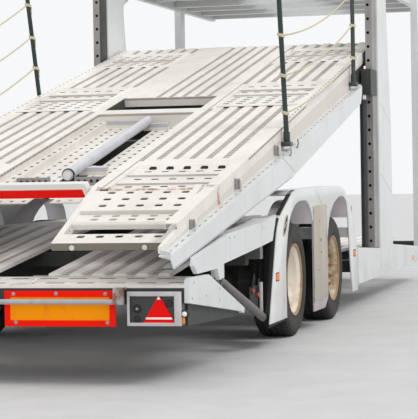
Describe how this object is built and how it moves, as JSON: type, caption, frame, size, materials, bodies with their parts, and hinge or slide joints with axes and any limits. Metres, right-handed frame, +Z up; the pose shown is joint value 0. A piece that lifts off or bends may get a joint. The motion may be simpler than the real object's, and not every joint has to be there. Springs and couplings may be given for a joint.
{
  "type": "car transporter trailer",
  "caption": "Centre-axle car transporter trailer with a sloping upper deck that lifts and tilts, hinged tail flaps, close-set axles, a drawbar and a support leg.",
  "frame": {"origin": "middle of the overall box, on the road", "axes": "+X towards the drawbar eye, +Y to the left side, +Z up"},
  "size_m": [11.555, 2.55, 2.945],
  "materials": {
    "panel_white": "gloss",
    "track_cream": "satin",
    "frame_grey": "satin",
    "steel_grey": "satin",
    "dark_steel": "satin",
    "plate_orange": "satin",
    "lamp_amber": "gloss",
    "reflector_red": "gloss",
    "lamp_grey": "matte",
    "bar_grey": "satin",
    "strut_grey": "satin",
    "strip_beige": "satin",
    "rod_chrome": "polished",
    "stripe_red": "satin",
    "post_green": "satin",
    "tyre": "matte",
    "rim_cream": "satin"
  },
  "bodies": {
    "chassis": {"frame_rails": "frame_grey", "cross_members": "frame_grey", "rear_beam": "track_cream", "marking_plates": "plate_orange", "lamp_boxes": "lamp_grey", "reflectors": "reflector_red", "rear_bar": "bar_grey", "corner_panels": "panel_white", "corner_skirts": "frame_grey", "corner_lamps": "lamp_grey", "struts": "strut_grey", "side_arms": "panel_white", "mudguards": "panel_white", "mid_strips": "strip_beige", "side_lamps": "lamp_amber", "sills": "panel_white", "columns": "panel_white", "guide_rails": "steel_grey", "lift_cylinders": "dark_steel", "front_posts": "panel_white", "platform_frame": "panel_white", "platform_tracks": "track_cream", "lower_tracks": "track_cream", "drawbar": "frame_grey", "coupling_eye": "dark_steel", "support_leg": "steel_grey", "axles": "dark_steel", "hubs": "dark_steel", "suspension": "dark_steel"},
    "lift": {"lift_carriages": "dark_steel", "lift_rods": "rod_chrome"},
    "upper_deck": {"deck_frame": "frame_grey", "deck_girders": "panel_white", "deck_cross_members": "frame_grey", "flap_hinges": "frame_grey", "deck_track_left": "track_cream", "deck_track_right": "track_cream", "deck_tail_beam": "stripe_red", "deck_centre": "track_cream", "deck_walkway": "track_cream", "deck_tube": "bar_grey", "rope_posts": "post_green"},
    "ramp_left": {"ramp_end_left": "track_cream"},
    "ramp_right": {"ramp_end_right": "track_cream"},
    "wheel_rear_left": {"tyre_rear_left": "tyre", "rim_rear_left": "rim_cream"},
    "wheel_rear_right": {"tyre_rear_right": "tyre", "rim_rear_right": "rim_cream"},
    "wheel_front_left": {"tyre_front_left": "tyre", "rim_front_left": "rim_cream"},
    "wheel_front_right": {"tyre_front_right": "tyre", "rim_front_right": "rim_cream"}
  },
  "joints": [
    {"name": "wheel_rear_left_spin", "type": "hinge", "parent": "chassis", "child": "wheel_rear_left", "pos_m": [-2.5691, 1.1, 0.396], "axis": [0, 1, 0], "continuous": true},
    {"name": "wheel_rear_right_spin", "type": "hinge", "parent": "chassis", "child": "wheel_rear_right", "pos_m": [-2.5691, -1.1, 0.396], "axis": [0, 1, 0], "continuous": true},
    {"name": "wheel_front_left_spin", "type": "hinge", "parent": "chassis", "child": "wheel_front_left", "pos_m": [-1.1531, 1.1, 0.396], "axis": [0, 1, 0], "continuous": true},
    {"name": "wheel_front_right_spin", "type": "hinge", "parent": "chassis", "child": "wheel_front_right", "pos_m": [-1.1531, -1.1, 0.396], "axis": [0, 1, 0], "continuous": true},
    {"name": "deck_lift", "type": "slide", "parent": "chassis", "child": "lift", "axis": [0, 0, 1], "range_m": [0, 0.6]},
    {"name": "deck_tilt", "type": "hinge", "parent": "lift", "child": "upper_deck", "pos_m": [0.6359, 0, 1.935], "axis": [0, 1, 0], "range_deg": [0, 12]},
    {"name": "ramp_left_hinge", "type": "hinge", "parent": "upper_deck", "child": "ramp_left", "pos_m": [-4.5119, 0.75, 1.0297], "axis": [0, 1, 0], "range_deg": [0, 10]},
    {"name": "ramp_right_hinge", "type": "hinge", "parent": "upper_deck", "child": "ramp_right", "pos_m": [-4.5119, -0.75, 1.0297], "axis": [0, 1, 0], "range_deg": [0, 10]}
  ]
}
